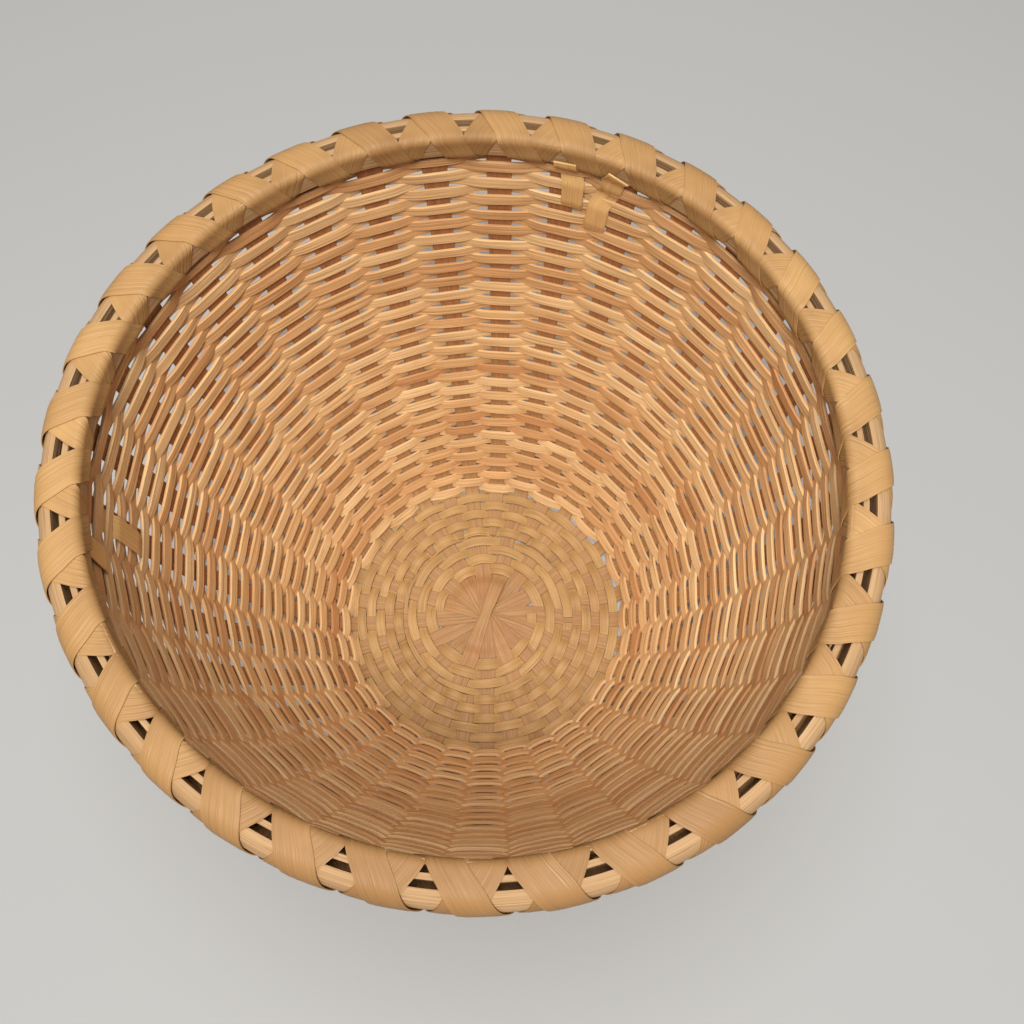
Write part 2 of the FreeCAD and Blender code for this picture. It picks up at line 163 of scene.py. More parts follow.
# Want of roundness: what the rim swells by, and for each count of lobes their size and bearing.
RIM_SWELL = 0.4
RIM_LOBES = {2: (1.7, 126), 3: (1.6, 156)}
SETTLE_POWER = 1.5

# Lashing; where it crosses the other it stands clear over a reach, on top of the rim and at its foot.
LASHING_WIDE = 15.2
LASHING_THICK = 0.8
LASHING_STAND = 0.12
LASHING_STEPS = 66
LASHING_FACETS = 7
LASHING_SHARP = 65
LASHING_SLANT = 1.15
LASHED_EASE = 2.4
LASHED_POINTS = 480
LASHED_NEAR = 0.8
WIND_START = 2.0
WIND_END = 30.0
WIND_EASE = 4.0
CROSS_RADIUS = 182.6
CROSS_DEPTH = 3.0
CROSS_CLEAR = 0.1
CROSS_TOP_REACH = 11.0
CROSS_FOOT_REACH = 9.0
BETWEEN_LIFT = 0.3
EDGE_THIN = 0.5
EDGE_POWER = 8

# Tone of the lashing: darker all over, painted shade at the far and near sides, more painted shade at the
# near side alone, and darker at the inner bend.
DARKER_ALL_OVER = 0.565
PAINTED_SHADE_FAR_AND_NEAR = 0.26
PAINTED_SHADE_NEAR_ONLY = 0.08
DARKER_BELOW_INNER_TOP = 0.12
BEND_BELOW = 2.0
BEND_REACH = 5.0

# Tucked ends of the lashings: stops of drop below the hoops, stake index, and depth inside the wall.
TAIL_WIDE = 11.5
TAIL_ABOVE = 3.0
TAIL_POINTS = 50
TAIL_SMOOTH = 7
UNDER_TAILS = [
    [(-8, 26.95, 8.2), (-4, 26.9, 7.4), (-1, 26.85, 4.4), (10, 26.8, 3.8), (14, 26.78, 1.0),
     (20, 26.7, 1.0), (24, 26.65, 3.6), (41, 26.62, 3.6), (45, 26.62, 1.6)],
    [(-8, 26.07, 8.2), (-3, 26.08, 7.6), (1, 26.1, 4.0), (4, 26.12, 1.0), (9, 26.16, 1.0),
     (12.5, 26.2, 3.6), (28, 26.2, 3.6), (32, 26.2, 1.6)],
]
OVER_TAILS = [
    [(-4, 15.34, 4.2), (4, 15.32, 3.8), (20, 15.26, 3.6), (25, 15.24, 1.0), (29, 15.22, 0.8)],
    [(24, 15.95, 0.8), (31, 15.92, 1.0), (35, 15.91, 3.6), (58, 15.87, 3.6), (62, 15.86, 2.0)],
]

# Seeds of wobbles; a side stake takes its index, and a wall strip its first crossing.
RIM_ROW_SEED = 5
OVER_SEED = 19
UNDER_SEED = 20
CHASE_SEED = 20
OUTER_BASE_SEED = 30
HUB_SEED = 40
LASHING_TONE_SEED = 60
RIPPLE_WAVES = 5

# Grain and edges.
GRAIN_SPREAD = 50
SHARP_EDGE = 30

rng = np.random.default_rng(11)


def angle_of(index):
    """Angle from +X of a stake, or of a gap at a half index."""
    return math.radians(90 - FIRST_BEARING) - index * STEP


def unit(vectors):
    """Vectors made one long."""
    return vectors / np.linalg.norm(vectors, axis=-1, keepdims=True)


def ripple(values, seed, size, pace):
    """Smooth wobble of about a size either way, the same on each run for a seed."""
    source = np.random.default_rng(seed)
    total = np.zeros(len(values))
    for order in range(1, RIPPLE_WAVES + 1):
        speed = source.uniform(0.6, 1.4)
        start = source.uniform(0, 6.28)
        total += np.sin(values * pace * order * speed + start) / order ** 0.5
    return size * total / 2.0


def weave_wave(crossing, square):
    """Which side of the stakes a strip is on: 1 at even stakes, -1 at odd ones, with easy turns between."""
    return np.tanh(square * np.cos(math.pi * crossing)) / math.tanh(square)


def spin(radius, height, angle):
    """Points from radii, heights and angles."""
    radius, height, angle = np.broadcast_arrays(radius, height, angle)
    return np.stack([radius * np.cos(angle), radius * np.sin(angle), height], axis=-1)


def run_lengths(points):
    """Distances along a line of points."""
    steps = np.linalg.norm(np.diff(points, axis=0), axis=1)
    return np.concatenate([[0.0], np.cumsum(steps)])


def shut(points):
    """Loop of points with its first point again at its end."""
    return np.concatenate([points, points[:1]])


def mirrored(values):
    """Values from one end of a hub splint to the other, from those of its half."""
    return np.concatenate([values[::-1], values])


def settle(points):
    """The basket's slight want of roundness, nothing at the base and most at the rim."""
    bearing = np.arctan2(points[:, 0], points[:, 1])
    swell = RIM_SWELL
    for lobes, (size, lobe_bearing) in RIM_LOBES.items():
        swell = swell + size * np.cos(lobes * (bearing - math.radians(lobe_bearing)))
    share = np.clip(points[:, 2] / HOOP_TOP, 0, 1) ** SETTLE_POWER
    stretch = 1 + share * swell / RIM_RADIUS
    return points * np.stack([stretch, stretch, np.ones(len(points))], axis=1)


# Wall profile.

def make_wall():
    """Points up the wall's middle, from the base's edge to the stakes' tops, with lengths along them."""
    rise, spread = STAKE_TOP - STAKE_PLANE, RIM_STAKE_RADIUS - BASE_RADIUS
    chord = math.hypot(spread, rise)
    arc_radius = (chord * chord / 4 + WALL_BULGE ** 2) / (2 * WALL_BULGE)
    half_turn = math.asin(chord / 2 / arc_radius)
    lean = math.atan2(rise, spread)
    swing = np.linspace(-half_turn, half_turn, WALL_POINTS)
    along = chord / 2 + arc_radius * np.sin(swing)
    out = arc_radius * (np.cos(swing) - math.cos(half_turn))
    radius = BASE_RADIUS + along * math.cos(lean) + out * math.sin(lean)
    height = STAKE_PLANE + along * math.sin(lean) - out * math.cos(lean)
    return radius, height, (swing + half_turn) * arc_radius


WALL_R, WALL_Z, WALL_S = make_wall()
WALL_LENGTH = WALL_S[-1]
WEAVE_TOP = float(np.interp(OUTER_HOOP_FOOT - WEAVE_DROP, WALL_Z, WALL_S))


def wall_at(distance):
    """Radius, height, and the parts of the unit vector up the wall, at distances up it."""
    radius, height = np.interp(distance, WALL_S, WALL_R), np.interp(distance, WALL_S, WALL_Z)
    up_r = np.interp(distance + 1, WALL_S, WALL_R) - np.interp(distance - 1, WALL_S, WALL_R)
    up_z = np.interp(distance + 1, WALL_S, WALL_Z) - np.interp(distance - 1, WALL_S, WALL_Z)
    length = np.hypot(up_r, up_z)
    return radius, height, up_r / length, up_z / length


# Section of a strip, in half widths and half thicknesses.
FLAT_STRIP = np.array([(-1.0, -0.5), (-0.95, -1.0), (0.95, -1.0), (1.0, -0.5),
                       (1.0, 0.5), (0.95, 1.0), (-0.95, 1.0), (-1.0, 0.5)])


# Meshes.

def mesh_object(name, points, faces, uvs, tint, sharp):
    """Object from points in millimetres, with a grain map, a tint at each point and a sharp angle."""
    mesh = bpy.data.meshes.new(name)
    mesh.from_pydata((settle(points) * MM).tolist(), [], faces)
    layer = mesh.uv_layers.new(name="grain")
    layer.data.foreach_set("uv", np.array(uvs, dtype=np.float32).ravel())
    shares = mesh.attributes.new("tint", "FLOAT", "POINT")
    shares.data.foreach_set("value", np.asarray(tint, dtype=np.float32))
    mesh.validate()
    mesh.shade_smooth()
    mesh.set_sharp_from_angle(angle=math.radians(sharp))
    piece = bpy.data.objects.new(name, mesh)
    bpy.context.scene.collection.objects.link(piece)
    return piece


def ring_mesh(name, rings, lengths, closed=False, tint=None, sharp=SHARP_EDGE):
    """Mesh through rings of points, shut at both ends or joined in a loop, with the grain along it."""
    count, around = rings.shape[:2]
    girth = run_lengths(shut(rings[count // 2])) * MM
    along = lengths * MM + rng.uniform(0, GRAIN_SPREAD)
    faces, uvs = [], []
    for ring in range(count if closed else count - 1):
        after = (ring + 1) % count
        u0 = along[ring]
        u1 = along[ring + 1] if ring + 1 < count else along[-1] + along[1] - along[0]
        for spot in range(around):
            beside = (spot + 1) % around
            faces.append((ring * around + spot, after * around + spot,
                          after * around + beside, ring * around + beside))
            uvs += [(u0, girth[spot]), (u1, girth[spot]), (u1, girth[spot + 1]), (u0, girth[spot + 1])]
    if not closed:
        for cap in (range(around - 1, -1, -1), range((count - 1) * around, count * around)):
            faces.append(tuple(cap))
            uvs += [(along[0], girth[spot % around]) for spot in cap]
    shares = np.zeros(count) if tint is None else tint
    return mesh_object(name, rings.reshape(-1, 3), faces, uvs, np.repeat(shares, around), sharp)


def sweep(name, centres, sides, normals, widths, thicks, tint=None):
    """Mesh of a flat strip along a path, scaled by half the width and half the thickness."""
    across, deep = FLAT_STRIP.T
    rings = (centres[:, None, :]
             + sides[:, None, :] * (across[None, :, None] * widths[:, None, None] / 2)
             + normals[:, None, :] * (deep[None, :, None] * thicks[:, None, None] / 2))
    return ring_mesh(name, rings, run_lengths(centres), tint=tint)


def strip_along(name, centres, ups, widths, thicks):
    """Strip that follows its centres, with its width as near as may be along the given directions."""
    along = unit(np.gradient(centres, axis=0))
    ups = unit(ups - along * np.sum(ups * along, axis=1, keepdims=True))
    return sweep(name, centres, ups, np.cross(along, ups), widths, thicks)


def joined(pieces):
    """One object from several, kept under the first one's name."""
    with bpy.context.temp_override(active_object=pieces[0], selected_editable_objects=pieces):
        bpy.ops.object.join()
    return pieces[0]


def dress(piece, node, material):
    """Finish a piece: it stands for a node of the part, and has that part's slot and a material."""
    piece.data.materials.clear()
    piece.data.materials.append(material)
    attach(piece, "root")
    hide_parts(node)


# Materials.

def wood(name, light, dark, stain, tinted, stain_from=0.55, gloss=0.55, streak=0.34):
    """Split wood: streaks along the grain, slow changes of tone, stains, tints and raised fibres."""
    material = bpy.data.materials.new(name)
    material.use_nodes = True
    tree = material.node_tree
    shader = tree.nodes["Principled BSDF"]
    shader.inputs["Specular IOR Level"].default_value = 0.3
    coords = tree.nodes.new("ShaderNodeUVMap")
    coords.uv_map = "grain"

    def streaks(along, across, detail, low, high):
        """Noise stretched along the grain, from 0 to 1 between two of its values."""
        stretch = tree.nodes.new("ShaderNodeMapping")
        stretch.inputs["Scale"].default_value = (along, across, 1.0)
        noise = tree.nodes.new("ShaderNodeTexNoise")
        noise.inputs["Scale"].default_value = 1.0
        noise.inputs["Detail"].default_value = detail
        ramp = tree.nodes.new("ShaderNodeMapRange")
        ramp.inputs["From Min"].default_value = low
        ramp.inputs["From Max"].default_value = high
        tree.links.new(coords.outputs["UV"], stretch.inputs["Vector"])
        tree.links.new(stretch.outputs["Vector"], noise.inputs["Vector"])
        tree.links.new(noise.outputs["Fac"], ramp.inputs["Value"])
        return ramp.outputs["Result"]

    def mixed(factor, first, second):
        """Mix of two colours, each a colour or a socket."""
        mix = tree.nodes.new("ShaderNodeMix")
        mix.data_type = "RGBA"
        tree.links.new(factor, mix.inputs["Factor"])
        for socket, value in ((mix.inputs["A"], first), (mix.inputs["B"], second)):
            if isinstance(value, tuple):
                socket.default_value = (*value, 1.0)
            else:
                tree.links.new(value, socket)
        return mix.outputs["Result"]

    def scaled(value, low, high):
        """Value from 0 to 1, spread from low to high."""
        ramp = tree.nodes.new("ShaderNodeMapRange")
        ramp.inputs["To Min"].default_value = low
        ramp.inputs["To Max"].default_value = high
        tree.links.new(value, ramp.inputs["Value"])
        return ramp.outputs["Result"]

    def raised(height, strength, distance):
        """Bump from a height."""
        bump = tree.nodes.new("ShaderNodeBump")
        bump.inputs["Strength"].default_value = strength
        bump.inputs["Distance"].default_value = distance
        tree.links.new(height, bump.inputs["Height"])
        return bump

    share = tree.nodes.new("ShaderNodeAttribute")
    share.attribute_name = "tint"
    middle = tuple(0.5 * pale + 0.5 * brown for pale, brown in zip(light, dark))
    deep = tuple(0.45 * value for value in dark)
    tone = streaks(along=14.0, across=30.0, detail=2.0, low=0.3, high=0.7)
    stained = streaks(along=3.2, across=8.0, detail=1.0, low=stain_from, high=stain_from + 0.16)
    bands = streaks(along=9.0, across=520.0, detail=3.0, low=0.36, high=0.64)
    grain = streaks(along=16.0, across=1500.0, detail=4.0, low=0.34, high=0.66)
    fleck = streaks(along=60.0, across=2000.0, detail=3.0, low=0.58, high=0.72)
    toned = mixed(scaled(stained, low=0.0, high=0.8), mixed(tone, middle, light), stain)
    tinged = mixed(share.outputs["Fac"], toned, tinted)
    banded = mixed(scaled(bands, low=streak, high=0.0), tinged, mixed(share.outputs["Fac"], dark, deep))
    grained = mixed(scaled(grain, low=0.24, high=0.0), banded, deep)
    flecked = mixed(scaled(fleck, low=0.0, high=0.55), grained, deep)
    tree.links.new(flecked, shader.inputs["Base Color"])
    tree.links.new(scaled(grain, low=gloss + 0.16, high=gloss - 0.06), shader.inputs["Roughness"])
    ridges = raised(bands, strength=0.5, distance=0.0004)
    fibres = raised(grain, strength=0.35, distance=0.0003)
    tree.links.new(ridges.outputs["Normal"], fibres.inputs["Normal"])
    tree.links.new(fibres.outputs["Normal"], shader.inputs["Normal"])
    return material


RED_BROWN = (0.37, 0.145, 0.055)
# Colour the lashing is tinted towards: its darker tone, and the painted shade at the rim's near and far
# sides.
DARK_TONE_AND_PAINTED_SHADE = (0.265, 0.132, 0.044)
WEAVER_WOODS = [
    wood("weaver_honey", light=(0.80, 0.51, 0.245), dark=(0.46, 0.225, 0.08),
         stain=(0.60, 0.31, 0.125), tinted=RED_BROWN),
    wood("weaver_tan", light=(0.75, 0.45, 0.205), dark=(0.42, 0.19, 0.07),
         stain=(0.52, 0.24, 0.095), tinted=RED_BROWN, stain_from=0.5),
    wood("weaver_pale", light=(0.83, 0.56, 0.285), dark=(0.50, 0.26, 0.10),
         stain=(0.64, 0.35, 0.15), tinted=RED_BROWN, stain_from=0.6),
]
STAKE_WOOD = wood("stake_brown", light=(0.425, 0.245, 0.10), dark=(0.27, 0.125, 0.048),
                  stain=(0.42, 0.205, 0.08), tinted=RED_BROWN)
BASE_WOOD = wood("base_tan", light=(0.51, 0.31, 0.122), dark=(0.28, 0.145, 0.05),
                 stain=(0.41, 0.22, 0.085), tinted=RED_BROWN, stain_from=0.6)
HOOP_WOOD = wood("hoop_tan", light=(0.46, 0.285, 0.14), dark=(0.31, 0.17, 0.072),
                 stain=(0.39, 0.215, 0.10), tinted=DARK_TONE_AND_PAINTED_SHADE, gloss=0.6)
LASHING_WOOD = wood("lashing_tan", light=(0.80, 0.50, 0.20), dark=(0.50, 0.27, 0.10),
                    stain=(0.66, 0.37, 0.14), tinted=DARK_TONE_AND_PAINTED_SHADE, gloss=0.5, streak=0.2)


# Stakes.

def outer_base_radius(count):
    """Radius of the outer base weaver at a crossing counted from its start."""
    return CHASE_LAST + count * BASE_ROW / STAKES


def stake_path(level, start):
    """Radii and heights from a start radius on the base, round the bend and up the wall, and the climb."""
    bend_in = BASE_RADIUS - BASE_BEND
    flat = np.linspace(start, bend_in, FLAT_SAMPLES)
    climb = np.linspace(BASE_BEND, WALL_LENGTH, CLIMB_SAMPLES)
    wall_r, wall_z, _up_r, _up_z = wall_at(climb)
    turn = np.linspace(0, 1, BEND_SAMPLES + 2)[1:-1]
    bend_r = (1 - turn) ** 2 * bend_in + 2 * turn * (1 - turn) * BASE_RADIUS + turn ** 2 * wall_r[0]
    bend_z = (1 - turn ** 2) * STAKE_PLANE + turn ** 2 * wall_z[0]
    near_hub = np.clip((HUB_STEP_EDGE - flat) / HUB_STEP_EASE, 0, 1)
    flat_z = STAKE_PLANE + level * near_hub ** 2 * (3 - 2 * near_hub)
    climbed = np.concatenate([np.zeros(FLAT_SAMPLES + BEND_SAMPLES), climb])
    return np.concatenate([flat, bend_r, wall_r]), np.concatenate([flat_z, bend_z, wall_z]), climbed


def stake_tint(climbed):
    """Share of red brown on a stake, from none on the base to all of it near the rim."""
    return np.clip((climbed - RED_FROM) / RED_OVER, 0, 1)


def stake_normals(across, height):
    """Unit vectors across the path in its upright plane, as a horizontal and an upright part."""
    run, rise = np.gradient(across), np.gradient(height)
    length = np.hypot(run, rise)
    return -rise / length, run / length


def wall_width(climbed):
    """Width of a stake at distances up the wall."""
    return STAKE_WIDE_BASE + (STAKE_WIDE_RIM - STAKE_WIDE_BASE) * climbed / WALL_LENGTH


def side_stake(name, index):
    """Stake with a pointed end on the base, bent up the wall."""
    angle = angle_of(index)
    start = outer_base_radius(index) - BASE_WIDE / 2 + TIP_CLEAR
    radius, height, climbed = stake_path(0.0, start)
    width = TIP_WIDE + (wall_width(climbed) - TIP_WIDE) * np.clip((radius - start) / TIP_LONG, 0, 1)
    width *= 1 + ripple(climbed, index, size=0.03, pace=0.05)
    norm_r, norm_z = stake_normals(radius, height)
    centres = spin(radius, height, angle)
    sides = np.broadcast_to(np.array([-math.sin(angle), math.cos(angle), 0.0]), centres.shape)
    thick = np.full(len(width), STAKE_THICK)
    return sweep(name, centres, sides, spin(norm_r, norm_z, angle), width, thick, stake_tint(climbed))


def spoke_index(count, radius):
    """Stake index at a count of spokes: evenly spaced at the hub, and two stakes apart past the chase."""
    lap = np.floor(count / SPOKES)
    low = np.floor(count - lap * SPOKES)
    share = np.clip((radius - HUB_RADIUS) / (CHASE_LAST - HUB_RADIUS), 0, 1)

    def placed(spoke):
        even = (spoke - (SPOKES - 1) / 2) * STAKES / SPOKES + SPOKES - 1
        stake = np.where(spoke < SPOKES, 2.0 * spoke, STAKES)
        return even * (1 - share) + stake * share
    part = count - lap * SPOKES - low
    return lap * STAKES + placed(low) * (1 - part) + placed(low + 1) * part


def hub_splint(name, order):
    """Splint over the whole base and up both sides, narrow where it crosses the others at the hub."""
    level = ((order - TOP_SPLINT - 1) % (SPOKES // 2) - 1) * HUB_STEP
    radius, height, climbed = stake_path(level, HUB_START)
    half = len(radius)
    spread = np.interp(radius, [0, HUB_RADIUS, CHASE_LAST], [HUB_WAIST, HUB_WIDE, STAKE_WIDE_BASE])
    width = np.where(climbed > 0, wall_width(climbed), spread)
    thick = np.interp(radius, [HUB_RADIUS - HUB_THINS, HUB_RADIUS], [HUB_THICK, STAKE_THICK])
    near = angle_of(spoke_index(np.full(half, float(order)), radius))[::-1]
    far = angle_of(spoke_index(np.full(half, float(order + SPOKES // 2)), radius))
    across = np.concatenate([-radius[::-1], radius])
    norm_u, norm_z = stake_normals(across, mirrored(height))
    centres = np.concatenate([spin(radius[::-1], height[::-1], near), spin(radius, height, far)])
    near_normals = spin(-norm_u[:half], norm_z[:half], near)
    far_normals = spin(norm_u[half:], norm_z[half:], far)
    normals = np.concatenate([near_normals, far_normals])
    turn = np.where(across < 0, math.pi / 2, -math.pi / 2)
    sides = spin(1.0, 0.0, np.concatenate([near, far]) + turn)
    patches = np.clip(ripple(across, HUB_SEED + order, size=1.0, pace=0.05), 0, 1)
    hub_tone = HUB_TONE * patches * np.exp(-(across / HUB_TONE_REACH) ** 2)
    tint = stake_tint(mirrored(climbed)) + hub_tone
    return sweep(name, centres, sides, normals, mirrored(width), mirrored(thick), tint)


# Base weavers.

def base_strip(name, phase, index, radius, width, seed):
    """Flat strip over stakes at even phases and under them at odd ones, at indices and radii along it."""
    arch = np.maximum(np.cos(math.pi * phase), 0) ** 2 * BASE_ARCH
    height = STAKE_PLANE + weave_wave(phase, BASE_SQUARE) * BASE_LIFT + arch
    angle = angle_of(index)
    centres = spin(radius + ripple(phase, seed, size=0.25, pace=0.8), height, angle)
    wide = width * (BASE_CLOSE + ripple(phase, seed + 1, size=0.05, pace=0.6))
    return strip_along(name, centres, spin(1.0, 0.0, angle), wide, np.full(len(angle), BASE_THICK))


def chase_strip(name, weaver):
    """One of two strips that chase each other round the hub splints; the second tapers away at its end."""
    begin = weaver * SPOKES / 2
    turns_end = CHASE_TURNS * SPOKES
    end = turns_end + weaver * (SPOKES - CHASE_SHORT)
    count = np.linspace(begin, end, int((end - begin) * SAMPLES))
    advance = 2 * BASE_ROW / SPOKES
    radius = CHASE_FIRST + (count - begin) * advance
    index = spoke_index(count, radius)
    past = count > turns_end
    margin = BASE_ROW - BASE_WIDE / 2
    low = CHASE_LAST - 2 * BASE_ROW + (count - turns_end) * advance + margin
    high = outer_base_radius(index - CHASE_TURNS * STAKES) - margin
    grow = np.clip((count - begin) / CHASE_GROWS, 0, 1)
    reach = CHASE_REACH * np.clip(1 - (count - begin) / SPOKES, 0, 1)
    width = np.where(past, np.maximum(high - low, CHASE_TIP), BASE_WIDE)
    width = width * (CHASE_START + (1 - CHASE_START) * grow) + reach
    radius = np.where(past, (low + high) / 2, radius)
    radius = radius + BASE_WIDE * (1 - CHASE_START) / 2 * (1 - grow) - reach / 2
    return base_strip(name, count + weaver, index, radius, width, CHASE_SEED + weaver)


def outer_base_strip(name):
    """Strip that spirals round all the stakes out to the base's edge, where it tapers."""
    end = (BASE_RADIUS - WEAVER_TIP + BASE_WIDE / 2 - CHASE_LAST) / BASE_ROW * STAKES
    count = np.linspace(OUTER_START, end, int(end * BASE_SAMPLES))
    low = outer_base_radius(count) - BASE_WIDE / 2
    high = np.minimum(low + BASE_WIDE, BASE_RADIUS + BASE_OVERHANG)
    return base_strip(name, count, count, (low + high) / 2, high - low, OUTER_BASE_SEED)


# Wall weavers.

def wall_strip(name, crossing, low, high, seed, share=1.0, shift=0.0):
    """Strip of the wall between two distances up it, inside the even crossings and outside the odd."""
    angle = angle_of(crossing)
    distance = (low + high) / 2 + ripple(crossing, seed, size=0.35, pace=0.9)
    inside = weave_wave(crossing, WAVE_SQUARE)
    fullness = 1 - TURN_LOSS + TURN_LOSS * np.abs(inside)
    width = (high - low) * (fullness + ripple(crossing, seed + 1, size=0.05, pace=0.5))
    radius, height, up_r, up_z = wall_at(distance)
    reach = np.where(inside > 0, INSIDE_REACH, OUTSIDE_REACH)
    reach = reach + ripple(crossing, seed + 2, size=0.12, pace=1.3)
    out = -inside * reach + shift
    centres = spin(radius + out * up_z, height - out * up_r, angle)
    lean = ripple(crossing, seed + 3, size=0.1, pace=0.8)
    ups = spin(up_r + lean * up_z, up_z - lean * up_r, angle)
    thick = WEAVER_THICK * share * (1 + ripple(crossing, seed + 4, size=0.08, pace=0.7))
    return strip_along(name, centres, ups, width, thick)


def row_pitch(distance):
    """Height of a row at distances up the wall: the upper rows are a little wider."""
    widened = np.clip((distance / WALL_LENGTH - ROW_WIDENS) / (1 - ROW_WIDENS), 0, 1)
    return ROW_LOW + (ROW_HIGH - ROW_LOW) * widened


SPIRAL_CLIMB = np.linspace(WALL_FOOT, WEAVE_TOP + ROW_HIGH / 2 - WEAVER_TIP, SPIRAL_POINTS)
SPIRAL_LAPS = np.concatenate([[0.0], np.cumsum(np.diff(SPIRAL_CLIMB) / row_pitch(SPIRAL_CLIMB[1:]))])


def spiral_strip(name, first, last, start):
    """Part of the wall's spiral between two crossings, scarfed at both ends and cut level at its top."""
    crossing = np.linspace(first - SCARF, last + SCARF, int(round((last - first + 2 * SCARF) * SAMPLES)))
    distance = np.interp((crossing - start) / STAKES, SPIRAL_LAPS, SPIRAL_CLIMB)
    half = WEAVER_SHARE * row_pitch(distance) / 2
    low = np.maximum(distance - half, WALL_FOOT)
    high = np.minimum(distance + half, WEAVE_TOP)
    begun = np.clip((crossing - first + SCARF) / (2 * SCARF), SCARF_EDGE, 1)
    ended = np.clip((last + SCARF - crossing) / (2 * SCARF), SCARF_EDGE, 1)
    shift = WEAVER_THICK / 2 * (ended - begun)
    top = np.maximum(high, low + WEAVER_TIP)
    return wall_strip(name, crossing, low, top, first, np.minimum(begun, ended), shift)


def rim_row(name):
    """Level row between the hoops."""
    crossing = np.linspace(RIM_ROW_GAP, STAKES - RIM_ROW_GAP, STAKES * SAMPLES)
    foot = np.full(len(crossing), float(np.interp(INNER_HOOP_FOOT + RIM_ROW_CLEAR, WALL_Z, WALL_S)))
    return wall_strip(name, crossing, foot, foot + RIM_ROW_WIDE, RIM_ROW_SEED)


# Rim.

def rounded(corners, reach, count):
    """Closed loop through corners, eased round them over a reach, as a count of evenly spaced points."""
    loop = shut(np.array(corners))
    stops = run_lengths(loop)
    place = np.linspace(0, stops[-1], count, endpoint=False)
    eased = np.zeros((count, 2))
    for shift in np.linspace(-reach, reach, EASE_STEPS):
        spot = np.mod(place + shift, stops[-1])
        eased += np.stack([np.interp(spot, stops, loop[:, axis]) for axis in (0, 1)], axis=1) / EASE_STEPS
    return eased


def half_round():
    """Round side of the outer hoop from its top to its foot, fuller below."""
    middle, half = (HOOP_TOP + OUTER_HOOP_FOOT) / 2, (HOOP_TOP - OUTER_HOOP_FOOT) / 2
    depth = OUTER_HOOP_OUT - OUTER_HOOP_IN
    points = []
    for turn in np.radians(np.arange(BELLY_STEP, 180, BELLY_STEP)):
        power = 1.0 if turn < math.pi / 2 else BELLY_FULL
        out = depth * math.sin(turn) ** power
        rise = half * math.copysign(abs(math.cos(turn)) ** power, math.cos(turn))
        points.append((OUTER_HOOP_IN + out, middle + rise))
    return points


def oblong(inner, outer, foot, top):
    """Section of an upright strip of the rim."""
    return [(inner, foot), (inner, top), (outer, top), (outer, foot)]


BELLY = half_round()
OUTER_HOOP = [(OUTER_HOOP_IN, OUTER_HOOP_FOOT + OUTER_HOOP_CUT), (OUTER_HOOP_IN, HOOP_TOP)] + BELLY
INNER_HOOP = oblong(INNER_HOOP_IN, INNER_HOOP_OUT, INNER_HOOP_FOOT, HOOP_TOP)
FILLER = oblong(FILLER_IN, FILLER_OUT, FILLER_FOOT, FILLER_TOP)
BOTH_HOOPS = [(INNER_HOOP_IN, INNER_HOOP_FOOT), (INNER_HOOP_IN, HOOP_TOP), (OUTER_HOOP_IN, HOOP_TOP)] + BELLY


def hoop(name, corners, reach, seed):
    """Ring with an eased section of radii and heights, a little uneven along its length."""
    section = rounded(corners, reach, HOOP_POINTS)
    middle_r, middle_z = section.mean(axis=0)
    turns = np.linspace(0, 2 * math.pi, HOOP_SAMPLES, endpoint=False)
    swell = 1.0
    for size, waves, shift in HOOP_WAVES:
        swell = swell + size * np.sin(waves * turns + shift * seed)
    rings = [spin(middle_r + (radius - middle_r) * swell, middle_z + (height - middle_z) * swell, turns)
             for radius, height in section]
    return ring_mesh(name, np.stack(rings, axis=1), turns * middle_r, closed=True)


LASHED = rounded(BOTH_HOOPS, LASHED_EASE, LASHED_POINTS)
LASHED_SHUT = shut(LASHED)
LASHED_S = run_lengths(LASHED_SHUT)
LASHED_LENGTH = LASHED_S[-1]
ON_TOP = LASHED[:, 1] > HOOP_TOP - CROSS_DEPTH
CROSS_S = float(LASHED_S[:-1][ON_TOP][np.argmin(np.abs(LASHED[ON_TOP, 0] - CROSS_RADIUS))])
INNER_TOP_S = float(LASHED_S[np.argmin(np.hypot(LASHED[:, 0] - INNER_HOOP_IN, LASHED[:, 1] - HOOP_TOP))])

# Distances round the hoops from the crossing on top, and the share of the way to the next gap there.
WIND_STOPS, WIND_SHARES = np.array([
    (-CROSS_S, -0.44),
    (INNER_TOP_S - CROSS_S, -0.27),
    (0.0, 0.0),
    (8.0, 0.12),
    (25.0, 0.38),
    (LASHED_LENGTH - CROSS_S, 0.56),
]).T


def wind_share(distance):
    """How far a lashing has gone round the rim, in gaps, at a distance along its winding."""
    total = np.zeros(len(distance))
    for shift in np.linspace(-WIND_EASE, WIND_EASE, EASE_STEPS):
        lap = np.floor((distance + shift - WIND_STOPS[0]) / LASHED_LENGTH)
        total += lap + np.interp(distance + shift - lap * LASHED_LENGTH, WIND_STOPS, WIND_SHARES)
    return total / EASE_STEPS


def on_lashed(distance):
    """Point and outward direction on the outline of the hoops at a distance round it."""
    def spot(shift):
        place = np.mod(distance + shift, LASHED_LENGTH)
        return np.stack([np.interp(place, LASHED_S, LASHED_SHUT[:, axis]) for axis in (0, 1)], axis=-1)
    run = unit(spot(LASHED_NEAR) - spot(-LASHED_NEAR))
    return spot(0.0), np.stack([-run[..., 1], run[..., 0]], axis=-1)


